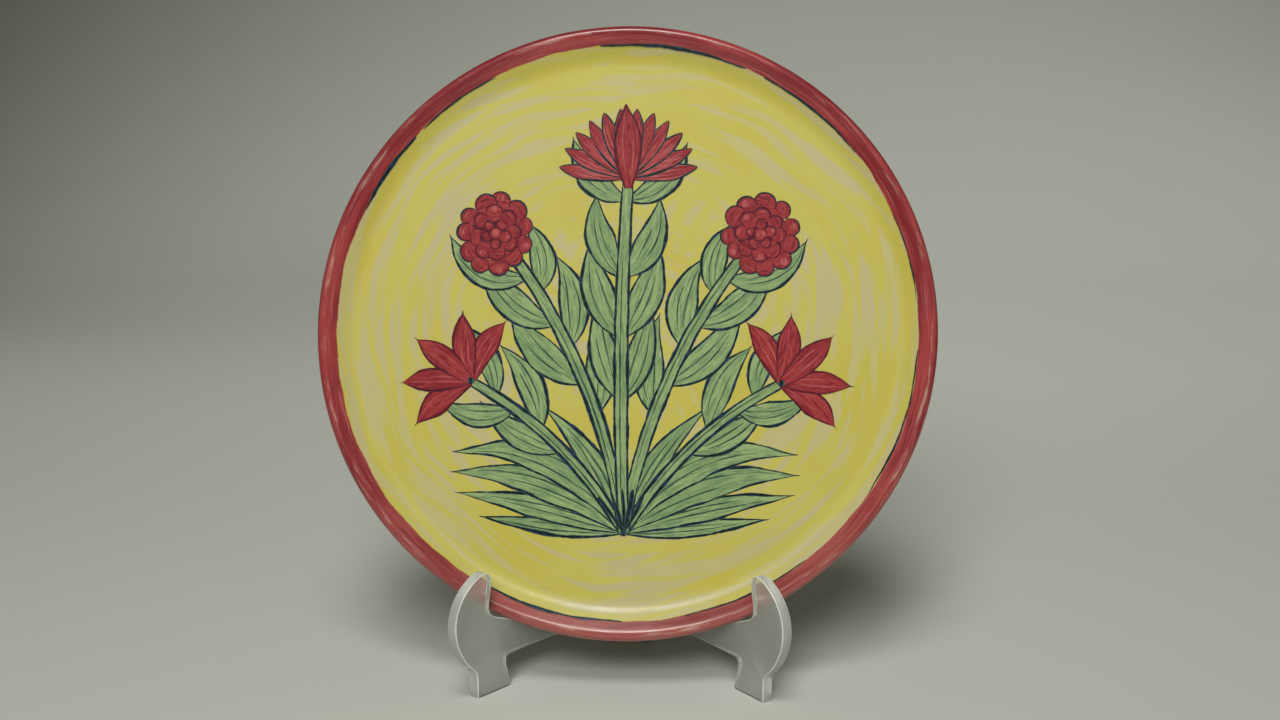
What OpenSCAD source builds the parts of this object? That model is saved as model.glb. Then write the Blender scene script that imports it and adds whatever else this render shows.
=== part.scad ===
// Hand painted ceramic plate on its clear folding display stand.
// The plate leans on two moulded sides that are hinged together at the back, like an open book.
// Millimetres. Z is up, the plate faces -Y, and the origin is on the table under the middle of the object.

/* [Plate] */
// Outside diameter of the plate
plate_d = 255; // [245:1:260]
// Thickness of the clay under the flat well
plate_wall = 6; // [5:0.5:7]
// Radius of the rounded lip at the edge
lip_r = 2.7; // [2.4:0.1:3]
// Depth of the well below the middle of the lip
well_depth = 3.2; // [2.6:0.2:3.6]
// Slope of the painted rim, measured from the well
rim_slope = 30; // [25:1:35]
// Radius of the hollow curve between the well and the rim
well_curve_r = 11; // [9:1:13]
// Radius at which the underside turns up towards the lip
underside_r = 108; // [104:1:112]
// Outside radius of the foot ring
foot_ring_r = 70; // [66:1:72]
// Width of the foot ring where it stands
foot_ring_w = 5; // [4:0.5:6]
// Height of the foot ring
foot_ring_h = 3.2; // [2.8:0.2:3.2]
// Lean of the plate back from upright, in degrees
lean = 18; // [17.5:0.5:18.5]

/* [Stand] */
// Thickness of each moulded side
side_t = 4.5; // [3.5:0.5:5]
// Angle of each side from straight ahead, in degrees
side_angle = 36; // [35:0.5:36.5]
// Gap between each side and the middle plane when the stand is folded
fold_gap = 0.3; // [0.2:0.1:0.5]

/* [Hinge] */
// Radius of the hinge pin
pin_r = 1.5; // [1.2:0.1:1.8]
// Radial clearance of the pin in its knuckles
pin_clearance = 0.05; // [0.02:0.01:0.1]
// Height of the bottom of the hinge above the table
hinge_bottom = 4; // [4:1:8]
// Height of the top of the hinge above the table
hinge_top = 62; // [50:1:62]
// Number of knuckles, shared by the two sides in turn
knuckles = 5; // [3:2:7]
// Gap between neighbouring knuckles
knuckle_gap = 0.4; // [0.3:0.1:0.6]
// Radius of the pin's heads
head_r = 3; // [2.6:0.1:3.4]
// Thickness of the pin's heads
head_t = 1.4; // [1:0.1:1.6]

/* [Hidden] */
$fn = 96;

// Where the plate's lip circle and the hinge stand.
plate_y = 9.24;
plate_z = 142.15;
hinge_y = 35.84;

plate_r = plate_d / 2;
lip_centre = plate_r - lip_r;
base_w = -well_depth - plate_wall;
knuckle_r = fold_gap + side_t;
leaf_start = knuckle_r + 0.5;
knuckle_l = (hinge_top - hinge_bottom - (knuckles - 1) * knuckle_gap) / knuckles;
curve_steps = 8;

// One point of a cubic curve from p0 to p3 that is pulled towards p1 and p2.
function curve_point(p, t) =
    pow(1 - t, 3) * p[0] + 3 * pow(1 - t, 2) * t * p[1] + 3 * (1 - t) * t * t * p[2] + pow(t, 3) * p[3];
function curve(p0, p1, p2, p3) =
    [for (i = [1 : curve_steps]) curve_point([p0, p1, p2, p3], i / curve_steps)];

// Outline of one side: x is the distance in front of the hinge, y is the height above the table.
side_outline = concat(
    [[96, 0], [96, 8.5]],                                       // front of the foot
    curve([96, 8.5], [96, 12.5], [99.5, 13], [102, 16.5]),      // foot swells into the horn
    curve([102, 16.5], [105.5, 21], [108, 26], [108, 32]),
    curve([108, 32], [108, 41], [101, 48], [93, 50.8]),         // horn curls back over the plate
    curve([93, 50.8], [90.5, 51.7], [87.6, 50.5], [87.3, 47.5]),
    curve([87.3, 47.5], [87.1, 44], [88.8, 41], [88.9, 36.5]),  // back of the horn
    curve([88.9, 36.5], [89, 34.2], [87.4, 32.4], [85, 31.4]),  // into the seat
    curve([69, 25], [66, 23.8], [63.6, 24.8], [62.4, 27.8]),    // seat into the backrest
    curve([30, 108.8], [28.4, 112.8], [25.5, 116], [22, 116]),  // rounded top
    curve([22, 116], [18.5, 116], [17, 112.5], [16, 109]),
    curve([16, 109], [11.5, 94], [leaf_start, 84], [leaf_start, 66]),
    [[leaf_start, 0], [13, 0]],                                 // back foot
    curve([14, 6], [14.8, 10.8], [17, 14], [22, 14]),
    curve([76, 14], [78.6, 14], [79.8, 12.6], [79.4, 10]),      // arch between the feet
    [[76.5, 0]]
);

// Section of the plate: x is the radius, y is the distance in front of the lip's middle.
module plate_section() {
    joint_r = lip_r - 0.005;  // the straight faces run just inside the lip's circle
    rim_top = [lip_centre - joint_r * sin(rim_slope), joint_r * cos(rim_slope)];
    rim_foot = [rim_top.x - (rim_top.y + well_depth) / tan(rim_slope), -well_depth];
    tangent = well_curve_r * tan(rim_slope / 2);
    curve_in = rim_foot - [tangent, 0];
    curve_out = rim_foot + tangent * [cos(rim_slope), sin(rim_slope)];
    back = [lip_centre - underside_r, -base_w];
    back_angle = atan2(back.y, back.x) - asin(joint_r / norm(back));
    back_top = [lip_centre + joint_r * sin(back_angle), -joint_r * cos(back_angle)];
    difference() {
        union() {
            polygon([
                [0, base_w], [underside_r, base_w], back_top, [lip_centre, 0],
                rim_top, curve_out, curve_in, [0, -well_depth]
            ]);
            translate([lip_centre, 0]) circle(r = lip_r);
        }
        translate(curve_in + [0, well_curve_r]) circle(r = well_curve_r);
    }
    polygon([
        [foot_ring_r - 3 - foot_ring_w, base_w + 0.1], [foot_ring_r - 1 - foot_ring_w, base_w - foot_ring_h],
        [foot_ring_r - 1, base_w - foot_ring_h], [foot_ring_r, base_w + 0.1]
    ]);
}

module plate() {
    color("khaki")
        translate([0, plate_y, plate_z])
            rotate([90 - lean, 0, 0])
                rotate_extrude($fn = 180) plate_section();
}

// One knuckle with the tab that ties it to its leaf.
module knuckle(z) {
    translate([0, 0, z]) {
        cylinder(r = knuckle_r, h = knuckle_l);
        translate([fold_gap, -leaf_start - 1, 0]) cube([side_t, leaf_start + 1, knuckle_l]);
    }
}

// The right side as it stands folded, with its leaf just clear of the middle plane.
module folded_side(first_knuckle) {
    difference() {
        union() {
            translate([fold_gap, 0, 0])
                rotate([90, 0, 90])
                    mirror([1, 0, 0])
                        linear_extrude(side_t) polygon(side_outline);
            for (i = [first_knuckle : 2 : knuckles - 1])
                knuckle(hinge_bottom + i * (knuckle_l + knuckle_gap));
        }
        translate([0, 0, -1]) cylinder(r = pin_r + pin_clearance, h = hinge_top + 2);
    }
}

module right_side() {
    color("gainsboro")
        translate([0, hinge_y, 0]) rotate([0, 0, side_angle]) folded_side(1);
}

module left_side() {
    color("gainsboro")
        translate([0, hinge_y, 0]) rotate([0, 0, -side_angle]) mirror([1, 0, 0]) folded_side(0);
}

module hinge_pin() {
    head_gap = 0.3;
    color("silver")
        translate([0, hinge_y, 0]) {
            translate([0, 0, hinge_bottom - head_gap - head_t])
                cylinder(r = head_r, h = head_t);
            translate([0, 0, hinge_bottom - head_gap - head_t])
                cylinder(r = pin_r, h = hinge_top - hinge_bottom + 2 * (head_gap + head_t));
            translate([0, 0, hinge_top + head_gap])
                cylinder(r = head_r, h = head_t);
        }
}

plate();
left_side();
right_side();
hinge_pin();
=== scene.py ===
"""Looks of the hand painted ceramic plate and of the clear folding stand that holds it.

The plate, its painting and the stand are drawn in millimetres, in the plate's own axes where nothing
else is said: x to the right, y up the face, z out of the painted face. PLATE puts them in place.
"""

import math

import bmesh
import bpy
from mathutils import Matrix, Vector, noise


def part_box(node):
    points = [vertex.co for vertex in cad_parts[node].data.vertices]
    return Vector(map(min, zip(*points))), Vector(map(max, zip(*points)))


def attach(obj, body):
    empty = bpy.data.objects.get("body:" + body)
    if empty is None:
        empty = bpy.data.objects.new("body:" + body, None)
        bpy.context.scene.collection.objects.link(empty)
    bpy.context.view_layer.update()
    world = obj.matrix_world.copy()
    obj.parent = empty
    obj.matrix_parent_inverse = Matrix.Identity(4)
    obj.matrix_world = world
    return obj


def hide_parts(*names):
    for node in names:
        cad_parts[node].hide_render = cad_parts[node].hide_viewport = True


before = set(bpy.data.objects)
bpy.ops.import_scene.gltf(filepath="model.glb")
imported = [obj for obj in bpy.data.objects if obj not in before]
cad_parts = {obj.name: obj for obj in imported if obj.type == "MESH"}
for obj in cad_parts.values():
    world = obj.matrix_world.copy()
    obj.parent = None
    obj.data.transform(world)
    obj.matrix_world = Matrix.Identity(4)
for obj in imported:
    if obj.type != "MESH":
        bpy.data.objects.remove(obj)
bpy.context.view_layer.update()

# --- The plate's dimensions, as the CAD part has them ------------------------------------------

MM = 0.001
LEAN = math.radians(18)
RIM_R = 127.5
LIP_R = 2.7
LIP_CENTRE = RIM_R - LIP_R
RIM_SLOPE = math.radians(30)
WELL_Z = -3.2
WELL_CURVE = 11.0
BACK_Z = -9.2
UNDERSIDE_R = 108.0
FOOT_OUT, FOOT_IN, FOOT_H = 69.0, 64.0, 3.2
BAND_R = 119.6  # where the red rim band starts

plate_low, plate_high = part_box("plate")
PLATE = Matrix.Translation((
    0,
    plate_low[1] + (LIP_R + LIP_CENTRE * math.sin(LEAN)) * MM,
    (plate_low[2] + plate_high[2]) / 2,
)) @ Matrix.Rotation(math.pi / 2 - LEAN, 4, "X")

RIM_TOP = (LIP_CENTRE - LIP_R * math.sin(RIM_SLOPE), LIP_R * math.cos(RIM_SLOPE))
RIM_FOOT = RIM_TOP[0] - (RIM_TOP[1] - WELL_Z) / math.tan(RIM_SLOPE)
CURVE_IN = RIM_FOOT - WELL_CURVE * math.tan(RIM_SLOPE / 2)
CURVE_OUT = RIM_FOOT + WELL_CURVE * math.tan(RIM_SLOPE / 2) * math.cos(RIM_SLOPE)


def warp(x, y):
    """The small unevenness of a hand thrown plate, in mm."""
    return 0.10 * noise.noise(Vector((x, y, 7.0)) * 0.022)


def face_height(r):
    """Height of the painted face at radius r, from the well to the top of the lip."""
    if r < CURVE_IN:
        return WELL_Z
    if r < CURVE_OUT:
        return WELL_Z + WELL_CURVE - math.sqrt(WELL_CURVE ** 2 - (r - CURVE_IN) ** 2)
    if r < RIM_TOP[0]:
        return RIM_TOP[1] - (RIM_TOP[0] - r) * math.tan(RIM_SLOPE)
    return math.sqrt(max(LIP_R ** 2 - (r - LIP_CENTRE) ** 2, 0))


# --- Node and mesh helpers ---------------------------------------------------------------------


class Shader:
    """A principled material and short ways to add nodes to it."""

    def __init__(self, name, **uniform):
        self.material = bpy.data.materials.new(name)
        self.material.use_nodes = True
        self.tree = self.material.node_tree
        self.bsdf = self.tree.nodes["Principled BSDF"]
        for socket, value in uniform.items():
            self.bsdf.inputs[socket.replace("_", " ")].default_value = value

    def node(self, kind, inputs, output=0, **settings):
        n = self.tree.nodes.new("ShaderNode" + kind)
        for key, value in settings.items():
            setattr(n, key, value)
        for key, value in inputs.items():
            if isinstance(value, bpy.types.NodeSocket):
                self.tree.links.new(value, n.inputs[key])
            else:
                n.inputs[key].default_value = value
        return n.outputs[output]

    def math(self, operation, a, b=0.0, c=0.0):
        return self.node("Math", {0: a, 1: b, 2: c}, operation=operation)

    def ramp(self, value, low, high):
        """0 below low, 1 above high, smooth between."""
        return self.node(
            "MapRange", {0: value, 1: low, 2: high, 3: 0.0, 4: 1.0}, interpolation_type="SMOOTHSTEP"
        )

    def mix(self, factor, a, b):
        return self.node("Mix", {0: factor, 6: a, 7: b}, output=2, data_type="RGBA")

    def noise(self, vector, scale, detail=3.0, roughness=0.55, distortion=0.0):
        return self.node("TexNoise", {
            "Vector": vector, "Scale": scale, "Detail": detail, "Roughness": roughness,
            "Distortion": distortion,
        })

    def coordinates(self):
        return self.node("TexCoord", {}, output="Object")

    def split(self, vector):
        n = self.tree.nodes.new("ShaderNodeSeparateXYZ")
        self.tree.links.new(vector, n.inputs[0])
        return n.outputs

    def join(self, x, y, z):
        return self.node("CombineXYZ", {0: x, 1: y, 2: z})

    def stretch(self, vector, x, y, z):
        return self.node("VectorMath", {0: vector, 1: (x, y, z)}, operation="MULTIPLY")

    def bump(self, height, distance, strength=1.0):
        normal = self.node("Bump", {"Height": height, "Distance": distance, "Strength": strength})
        self.tree.links.new(normal, self.bsdf.inputs["Normal"])

    def link(self, **sockets):
        for name, value in sockets.items():
            self.tree.links.new(value, self.bsdf.inputs[name.replace("_", " ")])
        return self.material


def linear(red, green, blue):
    """The linear colour of an 8-bit display colour."""
    def one(v):
        v /= 255
        return v / 12.92 if v <= 0.04045 else ((v + 0.055) / 1.055) ** 2.4
    return (one(red), one(green), one(blue), 1.0)


def build(name, vertices, faces, body, materials, slots=None, smooth=True, matrix=None):
    """A mesh piece that rides on a body."""
    mesh = bpy.data.meshes.new(name)
    mesh.from_pydata(vertices, [], faces)
    for m in materials:
        mesh.materials.append(m)
    mesh.polygons.foreach_set("use_smooth", [smooth] * len(mesh.polygons))
    if slots:
        mesh.polygons.foreach_set("material_index", slots)
    mesh.validate()
    obj = bpy.data.objects.new(name, mesh)
    bpy.context.collection.objects.link(obj)
    if matrix is not None:
        mesh.transform(matrix)
    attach(obj, body)
    return obj


# --- Plate -------------------------------------------------------------------------------------


def polar(s, centre=(0, 0)):
    """Distance in metres and direction (cos, sin) from the plate's middle, or from another point in mm."""
    turn = s.node("Mapping", {
        "Vector": s.coordinates(), "Location": PLATE @ Vector((centre[0] * MM, centre[1] * MM, 0)),
        "Rotation": PLATE.to_euler(),
    }, vector_type="TEXTURE")
    x, y, _ = s.split(turn)
    r = s.math("SQRT", s.math("ADD", s.math("MULTIPLY", x, x), s.math("MULTIPLY", y, y)))
    safe = s.math("MAXIMUM", r, 1e-4)
    return r, s.math("DIVIDE", x, safe), s.math("DIVIDE", y, safe)


def circled(s, cos, sin, length, third):
    """Coordinates drawn out along circles, with a third number across them."""
    return s.join(s.math("MULTIPLY", cos, length), s.math("MULTIPLY", sin, length), third)


def streaks(s, r, cos, sin, length, fineness, detail, wobble, seed):
    """Noise drawn out along circles round the plate's middle, as a turning brush leaves it."""
    around = circled(s, cos, sin, length, seed)
    r = s.math("MULTIPLY_ADD", s.noise(around, 2.0, 2.0), wobble, r)
    across = s.math("MULTIPLY_ADD", r, fineness, seed)
    return s.noise(circled(s, cos, sin, length, across), 1.0, detail, 0.6)


def red_band(s, r, cos, sin):
    """Colour of the red rim band: overlapping strokes, paler low on the plate as a painted sheen."""
    broad = streaks(s, r, cos, sin, 2.4, 260, 2.0, 0.004, 3.0)
    fine = streaks(s, r, cos, sin, 5.0, 1500, 4.0, 0.002, 9.0)
    tone = s.mix(s.ramp(broad, 0.40, 0.62), linear(134, 42, 48), linear(164, 62, 64))
    tone = s.mix(s.math("MULTIPLY", s.ramp(fine, 0.52, 0.74), 0.6), tone, linear(190, 118, 110))
    # painted sheen: the band turns paler, in patches, toward the low side of the plate
    painted_sheen_patches = s.math("MULTIPLY", s.math("SUBTRACT", broad, 0.5), 1.6)
    low = s.math("ADD", s.math("MULTIPLY", sin, -0.8), painted_sheen_patches)
    tone = s.mix(s.math("MULTIPLY", s.ramp(low, 0.20, 0.95), 0.40), tone, linear(158, 104, 92))
    return tone, fine


def sweeps(s, centre, length, fineness, seed):
    """Broad arcs of the glazing brush about a point (mm) of the plate, 0 to 1."""
    r, cos, sin = polar(s, centre)
    around = circled(s, cos, sin, length, seed)
    drift = s.math("MULTIPLY_ADD", s.noise(around, 0.7, 1.0), 0.030, r)
    across = s.math("MULTIPLY_ADD", drift, fineness, seed)
    return s.noise(circled(s, cos, sin, length, across), 1.0, 1.5, 0.4)


def front_glaze():
    s = Shader("front_glaze", Specular_IOR_Level=0.6, Coat_Weight=0.20, Coat_Roughness=0.18)
    r, cos, sin = polar(s)
    point = s.coordinates()
    arcs = s.math("MAXIMUM", sweeps(s, (0, 0), 2.0, 330, 1.0), sweeps(s, (5, -8), 1.7, 250, 5.0))
    inner = s.math("MAXIMUM", sweeps(s, (-95, -150), 5.0, 240, 2.0), sweeps(s, (150, -60), 5.0, 200, 7.0))
    inner = s.math("ADD", inner, 0.04)
    arcs = s.node("Mix", {0: s.ramp(r, 0.045, 0.075), 2: inner, 3: arcs}, data_type="FLOAT")
    zones = sweeps(s, (-4, 7), 2.2, 34, 12.0)
    blotch = s.noise(point, 22.0, 2.0, 0.5)
    bristle = streaks(s, r, cos, sin, 5.0, 1500, 3.0, 0.004, 8.0)
    cover = s.math("MULTIPLY_ADD", s.math("SUBTRACT", zones, 0.5), 0.12, arcs)
    cover = s.math("MULTIPLY_ADD", s.math("SUBTRACT", bristle, 0.5), 0.10, cover)
    cover = s.math("MULTIPLY_ADD", s.math("SUBTRACT", blotch, 0.5), 0.12, cover)
    thin = s.mix(s.ramp(blotch, 0.3, 0.7), linear(190, 179, 132), linear(194, 183, 120))
    full = s.mix(s.ramp(blotch, 0.35, 0.68), linear(197, 186, 92), linear(195, 182, 78))
    ground = s.mix(s.ramp(cover, 0.47, 0.59), thin, full)
    pool = s.ramp(sweeps(s, (-4, 7), 1.1, 95, 17.0), 0.58, 0.68)
    ground = s.mix(s.math("MULTIPLY", pool, 0.35), ground, linear(196, 178, 64))
    red, fine = red_band(s, r, cos, sin)
    # pale, glassy places of wear along the crest of the rim, which also serve as a painted highlight
    off_crest = s.math("ABSOLUTE", s.math("SUBTRACT", r, LIP_CENTRE * MM))
    crest = s.math("SUBTRACT", 1.0, s.ramp(off_crest, 0.0, 0.0016))
    wear = s.noise(circled(s, cos, sin, 9.0, s.math("MULTIPLY", r, 500)), 1.0, 5.0)
    crest_wear_and_highlight = s.math("MULTIPLY", crest, s.ramp(wear, 0.50, 0.72))
    red = s.mix(s.math("MULTIPLY", crest_wear_and_highlight, 0.6), red, linear(204, 176, 158))
    uneven = s.noise(circled(s, cos, sin, 6.0, 2.0), 1.0, 4.0)
    edge = s.math("MULTIPLY_ADD", uneven, -0.0028, BAND_R * MM + 0.0014)
    band = s.ramp(s.math("SUBTRACT", r, edge), -0.00025, 0.00025)
    colour = s.mix(band, ground, red)
    rough = s.node("MapRange", {0: s.noise(point, 180.0, 4.0), 1: 0.3, 2: 0.7, 3: 0.28, 4: 0.44})
    rough = s.math("MULTIPLY", rough, s.math("MULTIPLY_ADD", band, -0.4, 1.0))
    s.bump(s.math("MULTIPLY_ADD", s.noise(point, 120.0, 1.5), 0.4, cover), 0.00009, 0.5)
    return s.link(Base_Color=colour, Roughness=rough)


def back_glaze():
    s = Shader("back_glaze", Specular_IOR_Level=0.5, Coat_Weight=0.35, Coat_Roughness=0.08)
    r, cos, sin = polar(s)
    point = s.coordinates()
    rings = streaks(s, r, cos, sin, 1.5, 420, 4.0, 0.003, 2.0)
    cream = s.mix(s.ramp(rings, 0.35, 0.7), linear(206, 198, 176), linear(220, 214, 196))
    speck = s.ramp(s.noise(point, 900.0, 1.0), 0.735, 0.76)
    cream = s.mix(s.math("MULTIPLY", speck, 0.5), cream, linear(120, 96, 70))
    red, _ = red_band(s, r, cos, sin)
    uneven = s.noise(circled(s, cos, sin, 4.0, 6.0), 1.0, 5.0)
    edge = s.math("MULTIPLY_ADD", uneven, -0.006, (RIM_R - 1) * MM)
    colour = s.mix(s.ramp(s.math("SUBTRACT", r, edge), -0.0004, 0.0004), cream, red)
    s.bump(s.math("ADD", rings, s.noise(point, 300.0, 3.0)), 0.00015, 0.6)
    rough = s.node("MapRange", {0: s.noise(point, 120.0, 4.0), 1: 0.3, 2: 0.7, 3: 0.18, 4: 0.34})
    return s.link(Base_Color=colour, Roughness=rough)


def bare_clay():
    s = Shader("bare_clay", Specular_IOR_Level=0.3)
    point = s.coordinates()
    grain = s.noise(point, 1400.0, 5.0, 0.7)
    body = s.mix(s.ramp(s.noise(point, 90.0, 4.0), 0.35, 0.7), linear(196, 172, 140), linear(172, 140, 108))
    colour = s.mix(s.ramp(grain, 0.56, 0.7), body, linear(120, 88, 64))
    s.bump(grain, 0.0002, 0.8)
    rough = s.node("MapRange", {0: grain, 1: 0.3, 2: 0.7, 3: 0.75, 4: 0.95})
    return s.link(Base_Color=colour, Roughness=rough)


def arc(cx, cy, radius, start, end, steps):
    """Points of an arc from start to end, in degrees."""
    return [
        (cx + radius * math.cos(math.radians(a)), cy + radius * math.sin(math.radians(a)))
        for a in (start + (end - start) * i / steps for i in range(steps + 1))
    ]


def plate_section():
    """(radius, height, material) from the middle of the face, round the lip, to the middle of the back."""
    front = [(r, WELL_Z) for r in range(0, int(CURVE_IN), 4)]
    front += [(r, face_height(r)) for r in (
        CURVE_IN + (RIM_TOP[0] - CURVE_IN) * i / 16 for i in range(17))]
    lip = arc(LIP_CENTRE, 0, LIP_R, 90 + math.degrees(RIM_SLOPE), -98, 18)[1:]
    turn = arc(UNDERSIDE_R - 2, BACK_Z + 12, 12, -76, -90, 5)
    back = [(LIP_CENTRE - 8, -5.4), *turn]
    back += [(r, BACK_Z) for r in range(103, 72, -5)]
    foot_out = [(FOOT_OUT + 1.4, BACK_Z - 0.1), (FOOT_OUT + 0.5, BACK_Z - 0.7), (FOOT_OUT, BACK_Z - 2.4)]
    foot_out += arc(FOOT_OUT - 0.8, BACK_Z - FOOT_H + 0.8, 0.8, 0, -90, 4)
    foot = [(FOOT_OUT - 2.5, BACK_Z - FOOT_H), (FOOT_IN + 0.8, BACK_Z - FOOT_H)]
    foot_in = arc(FOOT_IN + 0.8, BACK_Z - FOOT_H + 0.8, 0.8, -90, -180, 4)[1:]
    foot_in += [(FOOT_IN - 0.6, BACK_Z - 1.0), (FOOT_IN - 1.8, BACK_Z - 0.2)]
    inside = [(r, BACK_Z) for r in range(60, -1, -5)]
    section = [(p, 0) for p in front + lip[:14]] + [(p, 1) for p in lip[14:] + back + foot_out]
    return section + [(p, 2) for p in foot] + [(p, 1) for p in foot_in + inside]


def lathe_plate():
    around = 256
    section = plate_section()
    vertices, faces, slots = [], [], []
    for (r, z), _ in section:
        for j in range(around):
            a = 2 * math.pi * j / around
            x, y = r * math.cos(a), r * math.sin(a)
            vertices.append((x * MM, y * MM, (z + warp(x, y)) * MM))
    for i in range(len(section) - 1):
        for j in range(around):
            k = (j + 1) % around
            a, b = i * around, (i + 1) * around
            faces.append((a + j, b + j, b + k, a + k))
            slots.append(section[i + 1][1])
    plate = build(
        "painted_plate", vertices, faces, "plate",
        [front_glaze(), back_glaze(), bare_clay()], slots, matrix=PLATE,
    )
    edit = bmesh.new()
    edit.from_mesh(plate.data)
    bmesh.ops.remove_doubles(edit, verts=edit.verts, dist=1e-7)
    bmesh.ops.recalc_face_normals(edit, faces=edit.faces)
    edit.to_mesh(plate.data)
    edit.free()
    return plate


plate = lathe_plate()
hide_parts("plate")

# --- Painting ----------------------------------------------------------------------------------
# A plain mirrored bouquet in thin raised glaze. Every leaf, stem and petal is a spine with half widths
# spread evenly along it, in plate millimetres. Later strokes lie over earlier ones.


class Layer:
    """The mesh of one paint: its points, and for each the place across and along its brush stroke."""

    def __init__(self):
        self.points, self.faces, self.brush = [], [], []

    def grid(self, rows, closed=False):
        """Rows of (x, y, height, across, along, seed)."""
        first, wide = len(self.points), len(rows[0])
        for row in rows:
            for x, y, h, across, along, seed in row:
                z = face_height(math.hypot(x, y)) + warp(x, y) + h
                self.points.append((x * MM, y * MM, z * MM))
                self.brush.append((across, along, seed))
        for i in range(len(rows) - 1):
            for j in range(wide if closed else wide - 1):
                a, b, k = first + i * wide, first + (i + 1) * wide, (j + 1) % wide
                self.faces.append((a + j, a + k, b + k, b + j))


GREEN, RED, PALE, WINE, SAGE, INK = (Layer() for _ in range(6))
FIRST = 0.035  # height of the first stroke above the glaze
STEP = 0.0025  # how much higher each stroke lies than the one before it
VEIN_RISE, TOUCH_RISE, LINE_RISE = 0.0012, 0.0014, 0.0018  # veins, touches and outlines above their fill
SUNK = -0.03  # the outermost edge of every stroke, below its top
strokes = 0


def next_level():
    """Height of the next stroke, a little over the last one."""
    global strokes
    strokes += 1
    return FIRST + STEP * strokes


def through(values, t):
    """Smooth curve through evenly spaced values (numbers or vectors) at t from 0 to 1."""
    last = len(values) - 1
    i = min(int(t * last), last - 1)
    f = t * last - i
    b, c = values[i], values[i + 1]
    a = values[i - 1] if i > 0 else b * 2 - c
    d = values[i + 2] if i + 2 <= last else c * 2 - b
    return (b * 2 + (c - a) * f + (a * 2 - b * 5 + c * 4 - d) * f ** 2
            + (b * 3 - a - c * 3 + d) * f ** 3) * 0.5


def spine(points, gap=0.9):
    """Evenly spaced (point, side direction, distance along, part of the way) along a smooth curve."""
    knots = [Vector(p) for p in points]
    fine = [through(knots, i / (24 * len(knots))) for i in range(24 * len(knots) + 1)]
    travelled = [0.0]
    for p, q in zip(fine, fine[1:]):
        travelled.append(travelled[-1] + (q - p).length)
    total, count = travelled[-1], max(int(travelled[-1] / gap), 6)
    result, k = [], 0
    for i in range(count + 1):
        want = total * i / count
        while k < len(fine) - 2 and travelled[k + 1] < want:
            k += 1
        span = max(travelled[k + 1] - travelled[k], 1e-9)
        place = fine[k].lerp(fine[k + 1], (want - travelled[k]) / span)
        result.append([place, None, want, i / count])
    for i, item in enumerate(result):
        along = (result[min(i + 1, count)][0] - result[max(i - 1, 0)][0]).normalized()
        item[1] = Vector((-along.y, along.x))
    return result


def unsteady(a, b, size=1.0):
    """The small wander of a hand, about -1 to 1."""
    return size * noise.noise(Vector((a, b, 3.3)))


def stroke(points, width, level=None, tip=0.15, layer=None):
    """One line of the brush: full in the middle, thin at both ends."""
    level = next_level() if level is None else level
    seed = strokes * 1.37
    rows = []
    for place, side, along, t in spine(points, 0.7):
        swell = tip + (1 - tip) * math.sin(math.pi * min(max(t, 0.0), 1.0)) ** 0.55
        w = width * swell * (1 + unsteady(along * 0.10, seed, 0.75) + unsteady(along * 0.5, seed + 9, 0.35))
        p = place + side * unsteady(along * 0.12, seed + 4, 0.22)
        rows.append([
            (*(p + side * w * c), level + h, c, along, seed)
            for c, h in ((1.0, SUNK), (0.97, 0.0), (-0.97, 0.0), (-1.0, SUNK))
        ])
    (layer or INK).grid(rows)


def leaf(points, widths, edges=(1.0, 1.0), veins=(0.12,), paint=None, flick=0.0, tip=0.0,
         line=0.52, vein=0.30, inks=None):
    """A leaf, stem or petal: its fill, lengthwise veins, and a line of its own weight down each edge."""
    paint = paint or GREEN
    edge_ink, vein_ink = inks or (INK, SAGE)
    level = next_level()
    seed = strokes * 2.11
    knots = [float(w) for w in widths]
    curve = spine(points)
    rows, left, right = [], [], []
    for place, side, along, t in curve:
        w = max(through(knots, t), 0.05)
        if t > 1 - tip:
            w *= math.sqrt(max(1 - ((t - 1 + tip) / tip) ** 2, 0.003))
        wl = w * (1 + unsteady(along * 0.11, seed, 0.10))
        wr = w * (1 + unsteady(along * 0.11, seed + 7, 0.10))
        rows.append([
            (*(place + side * (wl if c > 0 else wr) * c), level + h, w * c, along, seed)
            for c, h in ((1.0, SUNK), (0.99, 0.0), (0.66, 0.0), (0.33, 0.0), (0.0, 0.0),
                         (-0.33, 0.0), (-0.66, 0.0), (-0.99, 0.0), (-1.0, SUNK))
        ])
        left.append((place + side * wl, along, t))
        right.append((place - side * wr, along, t))
    paint.grid(rows)
    for part in veins:
        inner = [
            place + side * max(through(knots, t), 0.0) * part * (1 + 0.3 * math.sin(3 * t + seed))
            for place, side, along, t in curve
            if 0.12 + 0.10 * math.sin(seed + part * 9) < t < 0.78 + 0.12 * math.sin(seed * 2 + part * 5)
        ]
        if len(inner) > 5:
            stroke([tuple(p) for p in inner[::4] + [inner[-1]]], vein, level + VEIN_RISE, 0.1, vein_ink)
    end = curve[-1]
    onward = Vector((end[1].y, -end[1].x))
    for edge, weight in ((left, edges[0]), (right, edges[1])):
        if weight > 0:
            path = [tuple(p) for p, _, _ in edge[::3]]
            if (len(edge) - 1) % 3:
                path.append(tuple(edge[-1][0]))
            if flick:
                path.append(tuple(edge[-1][0] + onward * flick * (1 if weight == max(edges) else 0.5)))
            stroke(path, line * weight, level + LINE_RISE, 0.12 if flick else 0.35, edge_ink)


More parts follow.
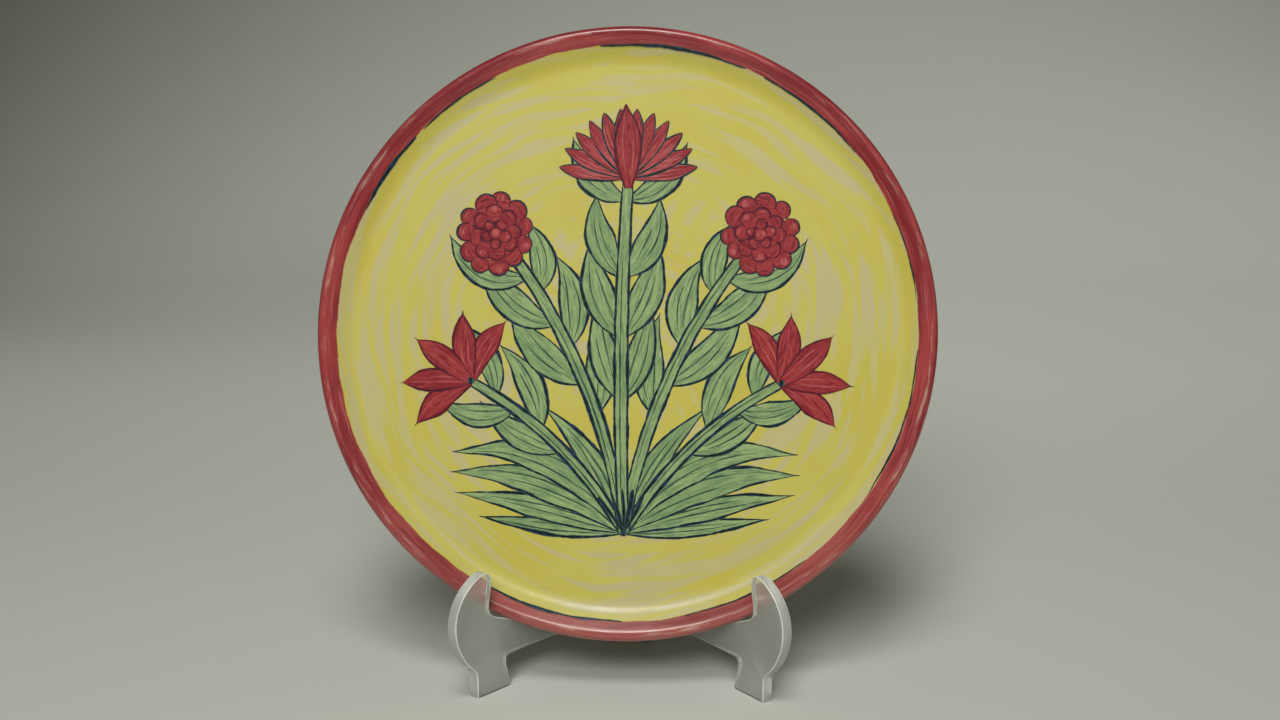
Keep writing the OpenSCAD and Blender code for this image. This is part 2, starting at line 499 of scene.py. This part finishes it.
def disc(x, y, radius, layer, squash=1.0, turn=0.0, level=None):
    """A round dab of paint."""
    level = next_level() if level is None else level
    seed = strokes * 1.73
    rows = []
    for part, h in ((1.0, SUNK), (0.98, 0.0), (0.66, 0.0), (0.33, 0.0), (0.02, 0.0)):
        row = []
        for j in range(22):
            a = 2 * math.pi * j / 22
            r = radius * part * (1 + unsteady(math.cos(a) * 1.3 + seed, math.sin(a) * 1.3, 0.12))
            u, v = r * math.cos(a), r * squash * math.sin(a)
            row.append((
                x + u * math.cos(turn) - v * math.sin(turn), y + u * math.sin(turn) + v * math.cos(turn),
                level + h, u, v + 2 * radius, seed))
        rows.append(row)
    layer.grid(rows, closed=True)
    return level


def ring_line(x, y, radius, start, end, width, level=None, layer=None):
    """Part of a circle drawn with the fine brush, angles in degrees."""
    count = max(int(abs(end - start) / 24), 3)
    stroke([
        (x + radius * math.cos(math.radians(start + (end - start) * i / count)),
         y + radius * math.sin(math.radians(start + (end - start) * i / count)))
        for i in range(count + 1)
    ], width, level, 0.3, layer)


def bend(start, heading, curl, length, parts=4):
    """Points of a curve that leaves start along a heading and turns by curl on the way (degrees)."""
    points = [tuple(start)]
    for i in range(parts):
        a = math.radians(heading + curl * (i + 0.5) / parts)
        x, y = points[-1]
        points.append((x + length / parts * math.cos(a), y + length / parts * math.sin(a)))
    return points


def facing(side, angle):
    """A heading on the right (side 1), or the same one mirrored to the left (side -1)."""
    return angle if side > 0 else 180 - angle


def pointed_leaf(start, heading, curl, length, width):
    """A leaf with a narrow foot and a long point, its outer edge drawn heavier."""
    weights = (1.0, 1.3) if curl > 0 else (1.3, 1.0)
    leaf(bend(start, heading, curl, length), (0.5, 0.8 * width, width, 0.6 * width, 0), weights,
         (-0.3, 0.3), flick=1.5)


def stem(start, heading, curl, length, width, leaves):
    """A stem over its leaves (part of the way, angle off the stem, curl, length, width). Gives its tip."""
    points = bend(start, heading, curl, length, 6)
    knots = [Vector(p) for p in points]
    for part, angle, turn, reach, wide in leaves:
        loose = 9 * unsteady(part * 9, strokes * 0.7)
        pointed_leaf(through(knots, part), heading + curl * part + angle + loose, turn, reach, wide)
    leaf(points, (0.8 * width, width, width, 0.8 * width), (1.2, 1.2), (0.2,))
    return points[-1]


def petal(points, widths, veins=(0.0,), edges=(1.0, 1.0), line=0.40, flick=0.0, tip=0.12,
          vein=0.26, inks=None):
    """A leaf in red, with a wine outline, pale veins and a blunt end."""
    leaf(points, widths, edges, veins, RED, flick, tip, line, vein, inks or (WINE, PALE))


def dahlia(x, y, size, turn, line, rings):
    """Rings of round petals, the outer ring lowest, about a small round middle. turn is in radians."""
    disc(x, y, 10.5 * size, WINE)
    for ring, (count, radius, lobe) in enumerate(rings):
        for i in range(count):
            a = 2 * math.pi * (i + 0.5 * ring) / count + turn + unsteady(i * 3.1, ring + y, 0.16)
            far = radius * size * (1 + unsteady(i * 1.7, ring * 5 + x, 0.14))
            cx, cy = x + far * math.cos(a), y + far * math.sin(a) * 1.05
            r = lobe * size * (1 + unsteady(i * 2.3, ring * 3 + y, 0.30))
            level = disc(cx, cy, r, RED, 0.92, a)
            d = math.degrees(a)
            touch = level + TOUCH_RISE
            ring_line(cx, cy, r * 0.96, d - 110, d + 110, line, touch, WINE)
            if ring == 0:
                ring_line(cx, cy, r * 1.02, d - 70, d + 60, line * 0.8, level + 0.0016, INK)
            if (i + ring) % 3:
                ring_line(cx, cy, r * 0.50, d - 60, d + 50, line * 0.6, touch, (WINE, PALE)[i % 2])
            else:
                shine = 0.4 * r
                disc(cx + shine * math.cos(a), cy + shine * math.sin(a), r * 0.34, PALE, level=touch)
    level = disc(x, y, 2.6 * size, RED)
    ring_line(x, y, 2.5 * size, 0, 350, line * 1.1, level + 0.0015, WINE)
    disc(x + 0.2, y + 0.2, 1.4 * size, PALE)


def lily(x, y, heading, size):
    """Five pointed petals that open about a heading."""
    for spread, curl in ((64, 30), (-64, -30), (34, 16), (-34, -16), (0, 6)):
        petal(bend((x, y), heading + spread, curl, 27 * size), (1.6, 3.8 * size, 4.1 * size, 0.2),
              (-0.3, 0.3), (1.2, 1), flick=1.5)
    disc(x, y, 1.5, INK)


def lotus(x, y, size):
    """A fan of petals, the widest spread lowest, and an upright petal in front of them."""
    for spread in (88, 72, 56, 41, 27, 13):
        for side in (1, -1):
            petal(bend((x, y), facing(side, 90 - spread), 12 * side, 26 * size, 3), (1.0, 2.6, 3.1, 1.4),
                  (-0.6, -0.2, 0.2, 0.6), line=0.38, tip=0.3, vein=0.42, inks=(INK, PALE))
    petal(bend((x, y - 5), 90, 4, 32 * size), (1.2, 4.8, 4.9, 0), (-0.35, 0.3), (1.5, 1.1), line=0.42)


# The bouquet: five stems and a spray of leaves from one foot, given for the right side and mirrored for
# the left. A leaf of the spray is (heading, curl, length, width). A leaf on a stem is (part of the way
# along the stem, angle off it, curl, length, width). Angles are in degrees.
FOOT = (0, -84)
SPRAY = ((3, 6, 58, 3.4), (20, -14, 70, 4.6), (42, -46, 76, 6.0), (62, -74, 82, 6.2), (74, -34, 62, 4.6))
LOW_LEAVES = (
    (0.46, -34, 40, 40, 5.2), (0.60, 44, -46, 40, 5.4), (0.76, -58, 62, 32, 4.8), (0.86, 56, -44, 32, 4.6),
)
HIGH_LEAVES = (
    (0.36, 34, -34, 42, 6.0), (0.46, -42, 44, 46, 6.4), (0.58, 44, -52, 40, 6.0),
    (0.66, -54, 68, 44, 6.2), (0.77, 50, -60, 32, 5.2), (0.83, -72, 84, 40, 5.4),
)
TOP_LEAVES = (
    (0.36, 28, -28, 44, 5.6), (0.54, 38, -40, 44, 6.4), (0.71, 46, -52, 38, 6.0), (0.93, 74, -62, 36, 5.4),
)
DAHLIA_RINGS = ((11, 11.4, 4.1), (8, 7.2, 3.1), (5, 4.0, 2.0))  # petals, radius, size of a petal


def one_side(side, leaves):
    """The leaves of a stem on the right (side 1), or mirrored for the left (side -1)."""
    return [(part, angle * side, curl * side, length, width) for part, angle, curl, length, width in leaves]


for side in (1, -1):
    for angle, curl, length, width in SPRAY:
        pointed_leaf(FOOT, facing(side, angle), curl * side, length, width)
low_tips = [
    stem(FOOT, facing(side, 60), -32 * side, 90, 2.1, one_side(side, LOW_LEAVES)) for side in (1, -1)]
high_tips = [
    stem(FOOT, facing(side, 82), -32 * side, 137, 2.4, one_side(side, HIGH_LEAVES)) for side in (1, -1)]
top_tip = stem(FOOT, 93, -6, 148, 2.6, one_side(1, TOP_LEAVES) + one_side(-1, TOP_LEAVES))
for side, tip in zip((1, -1), low_tips):
    lily(*tip, facing(side, 40), 1.05)
for side, tip in zip((1, -1), high_tips):
    dahlia(*tip, 1.08, 0.3 * side, 0.38, DAHLIA_RINGS)
lotus(*top_tip, 1.12)

# The gathered foot of the bouquet
disc(*FOOT, 1.8, INK, 0.7)
for angle in (58, 74, 88, 104, 122):
    stroke(bend(FOOT, angle, 8, 18), 0.8, tip=0.3)

# What shows of the fine line drawn before the rim was coloured, in parts of its circle
for start, end, width in ((96, 66, 0.55), (62, 38, 0.42), (156, 138, 0.60), (136, 118, 0.30),
                          (-4, -34, 0.32), (-119, -90, 0.50), (-52, -78, 0.25), (24, 6, 0.25)):
    ring_line(0, 0, BAND_R - 0.1, start, end, width)


def brush(s):
    """The place across and along the brush stroke, and the stroke's seed."""
    return s.node("Attribute", {}, output=1, attribute_name="brush")


def paint_material(name, pale, middle, deep):
    """A glaze with streaks along each brush stroke and uneven cover."""
    s = Shader(name, Specular_IOR_Level=0.32, Coat_Weight=0.05, Coat_Roughness=0.15)
    place = brush(s)
    along = s.noise(s.stretch(place, 0.9, 0.10, 3.0), 1.0, 4.0, 0.6)
    bristle = s.noise(s.stretch(place, 3.2, 0.22, 5.0), 1.0, 3.0, 0.65)
    each = s.noise(s.stretch(place, 0.05, 0.02, 0.9), 1.0, 2.0)
    tone = s.mix(s.ramp(along, 0.40, 0.60), deep, middle)
    tone = s.mix(s.math("MULTIPLY", s.ramp(bristle, 0.48, 0.66), 0.75), tone, pale)
    tone = s.mix(s.math("MULTIPLY", s.ramp(each, 0.5, 0.7), 0.45), tone, deep)
    s.bump(s.math("ADD", along, bristle), 0.00006, 0.6)
    rough = s.node("MapRange", {0: bristle, 1: 0.3, 2: 0.7, 3: 0.28, 4: 0.44})
    return s.link(Base_Color=tone, Roughness=rough)


def ink_material():
    s = Shader("ink_glaze", Specular_IOR_Level=0.4, Coat_Weight=0.1, Coat_Roughness=0.15)
    across, along, seed = s.split(brush(s))
    place = s.join(across, s.math("MULTIPLY", along, 0.35), seed)
    patch = s.noise(place, 1.0, 3.0)
    edge = s.math("ABSOLUTE", across)
    edge = s.math("MULTIPLY_ADD", patch, 0.5, edge)
    tone = s.mix(s.ramp(patch, 0.52, 0.66), linear(20, 34, 37), linear(34, 50, 94))
    tone = s.mix(s.ramp(edge, 0.72, 1.15), tone, linear(66, 90, 86))
    rough = s.node("MapRange", {0: patch, 1: 0.3, 2: 0.7, 3: 0.18, 4: 0.34})
    s.bump(patch, 0.00005, 0.5)
    return s.link(Base_Color=tone, Roughness=rough)


def painted(name, layer, material):
    obj = build(name, layer.points, layer.faces, "plate", [material], smooth=False, matrix=PLATE)
    mark = obj.data.attributes.new("brush", "FLOAT_VECTOR", "POINT")
    mark.data.foreach_set("vector", [v for point in layer.brush for v in point])


painted("leaf_paint", GREEN, paint_material(
    "leaf_glaze", linear(168, 186, 134), linear(146, 166, 112), linear(108, 136, 94)))
painted("petal_paint", RED, paint_material(
    "petal_glaze", linear(184, 84, 82), linear(153, 48, 53), linear(125, 32, 41)))
painted("petal_lights", PALE, paint_material(
    "pale_petal_glaze", linear(200, 124, 118), linear(178, 84, 84), linear(150, 52, 58)))
painted("vein_lines", SAGE, paint_material(
    "vein_glaze", linear(92, 120, 92), linear(58, 86, 70), linear(30, 50, 48)))
painted("wine_lines", WINE, paint_material(
    "wine_glaze", linear(120, 44, 56), linear(92, 22, 38), linear(62, 20, 40)))
painted("ink_lines", INK, ink_material())


# --- Stand -------------------------------------------------------------------------------------


def clear_plastic(name, clearness, low, high, ripple):
    """Clear plastic with a slight haze: clearness 0 to 1, roughness from low to high."""
    s = Shader(name, Base_Color=(0.95, 0.96, 0.93, 1), Transmission_Weight=clearness, IOR=1.46,
               Specular_IOR_Level=0.5)
    point = s.coordinates()
    rough = s.node("MapRange", {0: s.noise(point, 60.0, 4.0), 1: 0.3, 2: 0.7, 3: low, 4: high})
    s.bump(s.noise(point, ripple, 3.0), 0.00004, 0.4)
    return s.link(Roughness=rough)


# The edge band is polished but also whiter and less clear than the flats, and the rounded corners whiter
# still: both are painted highlights on the clear plastic.
FLATS = clear_plastic("frosted_plastic", 0.84, 0.10, 0.20, 900.0)
EDGES = clear_plastic("polished_plastic", 0.66, 0.06, 0.14, 260.0)
HIGHLIGHT_CORNERS = clear_plastic("painted_highlight_corners", 0.20, 0.10, 0.25, 400.0)


def stand_side(node):
    """The CAD side with rounded corners whitened as a painted highlight: hazed flats, polished edge."""
    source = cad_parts[node]
    edit = bmesh.new()
    edit.from_mesh(source.data)
    bmesh.ops.remove_doubles(edit, verts=edit.verts, dist=1e-6)
    bmesh.ops.dissolve_limit(
        edit, angle_limit=math.radians(1), verts=edit.verts, edges=edit.edges)
    sharp = [e for e in edit.edges if e.is_manifold and e.calc_face_angle() > math.radians(50)]
    corners = bmesh.ops.bevel(
        edit, geom=sharp, offset=0.0008, segments=3, profile=0.5, affect="EDGES", clamp_overlap=True)["faces"]
    for f in edit.faces:
        f.smooth = True
        f.material_index = 0 if f.calc_area() > 1e-3 else 1
    for f in corners:
        f.material_index = 2
    mesh = bpy.data.meshes.new("clear_" + node)
    edit.to_mesh(mesh)
    edit.free()
    for plastic in (FLATS, EDGES, HIGHLIGHT_CORNERS):
        mesh.materials.append(plastic)
    side = bpy.data.objects.new("clear_" + node, mesh)
    bpy.context.collection.objects.link(side)
    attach(side, node)
    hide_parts(node)


for name in ("left_side", "right_side"):
    stand_side(name)


def drawn_steel():
    s = Shader("drawn_steel", Metallic=1.0, Base_Color=(0.58, 0.58, 0.57, 1))
    lines = s.noise(s.stretch(s.coordinates(), 4000, 4000, 160), 1.0, 4.0)
    rough = s.node("MapRange", {0: lines, 1: 0.3, 2: 0.7, 3: 0.22, 4: 0.42})
    s.bump(lines, 0.00003, 0.5)
    return s.link(Roughness=rough)


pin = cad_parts["hinge_pin"]
pin.data.materials.clear()
pin.data.materials.append(drawn_steel())

# --- Floor, lights and camera ------------------------------------------------------------------


def sweep_floor():
    """A round pale floor that curves up into a wall all the way round."""
    flat, bend, wall, around = 1.15, 0.75, 3.0, 96
    section = [(flat * i / 6, 0.0) for i in range(7)]
    section += [(flat + bend * math.sin(a), bend - bend * math.cos(a))
                for a in (math.pi / 2 * i / 10 for i in range(1, 11))]
    section.append((flat + bend, wall))
    vertices = [
        (r * math.cos(2 * math.pi * j / around), r * math.sin(2 * math.pi * j / around), z)
        for r, z in section for j in range(around)
    ]
    faces = [
        (a + j, a + (j + 1) % around, a + around + (j + 1) % around, a + around + j)
        for a in range(0, (len(section) - 1) * around, around) for j in range(around)
    ]
    mesh = bpy.data.meshes.new("floor")
    mesh.from_pydata(vertices, [], faces)
    mesh.polygons.foreach_set("use_smooth", [True] * len(mesh.polygons))
    s = Shader("pale_floor", Roughness=0.9, Specular_IOR_Level=0.1, Emission_Color=(1, 1, 0.96, 1))
    x, y, z = s.split(s.coordinates())
    across = s.math("SUBTRACT", x, 0.15)
    back = s.math("MAXIMUM", s.math("SUBTRACT", y, 1.1), -0.3)
    far = s.math("SQRT", s.math("ADD", s.math("MULTIPLY", across, across), s.math("MULTIPLY", back, back)))
    # painted light: the floor's tone is made lighter further back
    tone = s.mix(s.ramp(y, 0.15, 0.70), linear(214, 215, 208), linear(228, 229, 222))
    tone = s.mix(s.math("MULTIPLY", s.noise(s.coordinates(), 3.0, 4.0), 0.12), tone, linear(180, 180, 172))
    # painted shade: the tone darkens toward the far left and back corners of the backdrop
    painted_falloff_shade = s.math("MULTIPLY", s.ramp(far, 0.55, 1.35), s.ramp(y, 0.4, 1.0))
    tone = s.mix(painted_falloff_shade, tone, linear(96, 97, 89))
    # the wall glows faintly at the sides and in front, as a light tent does
    tent = s.math("MULTIPLY", s.ramp(z, 0.05, 0.90), s.math("SUBTRACT", 1.0, s.ramp(y, 0.7, 1.3)))
    mesh.materials.append(s.link(Base_Color=tone, Emission_Strength=s.math("MULTIPLY", tent, 0.08)))
    s.material.cycles.emission_sampling = "NONE"
    floor = bpy.data.objects.new("floor", mesh)
    bpy.context.collection.objects.link(floor)


def soft_light(name, place, aim, size, power, colour, spread, glint=True):
    """A round soft light; without glint it lights surfaces but leaves no highlight on them."""
    data = bpy.data.lights.new(name, "AREA")
    data.shape = "DISK"
    data.size = size
    data.energy = power
    data.color = colour
    data.spread = math.radians(spread)
    light = bpy.data.objects.new(name, data)
    light.location = place
    light.rotation_euler = (Vector(aim) - Vector(place)).to_track_quat("-Z", "Y").to_euler()
    light.visible_camera = False
    light.visible_glossy = glint
    bpy.context.collection.objects.link(light)


sweep_floor()
LAMP = (0.985, 1.0, 0.955)
soft_light("key_low", (-0.15, -1.65, 1.20), (0.05, 0.30, 0.0), 0.80, 3.3, LAMP, 70, False)
soft_light("key_high", (-0.08, -1.05, 2.00), (0.05, 0.35, 0.0), 0.80, 2.85, LAMP, 72)
soft_light("over", (0.45, 0.95, 1.60), (0.45, 1.05, 0.0), 0.70, 0.45, LAMP, 60)
soft_light("over_back", (0.10, 1.10, 2.00), (0.10, 1.55, 0.3), 0.70, 0.55, LAMP, 80)
soft_light("wall_left", (-0.70, 0.55, 1.00), (-0.70, 1.60, 0.2), 0.50, 0.2, LAMP, 80)

world = bpy.data.worlds.new("studio")
world.use_nodes = True
world.node_tree.nodes["Background"].inputs["Color"].default_value = (1.0, 0.88, 0.50, 1)
world.node_tree.nodes["Background"].inputs["Strength"].default_value = 0.04
bpy.context.scene.world = world

camera_data = bpy.data.cameras.new("camera")
camera_data.lens = 50
camera_data.sensor_width = 36
camera = bpy.data.objects.new("camera", camera_data)
camera.location = (0.0353, -0.7093, 0.2690)
camera.rotation_euler = (math.radians(90 - 11.05), 0, math.radians(2.35))
bpy.context.collection.objects.link(camera)
bpy.context.scene.camera = camera
bpy.context.scene.view_settings.view_transform = "Standard"
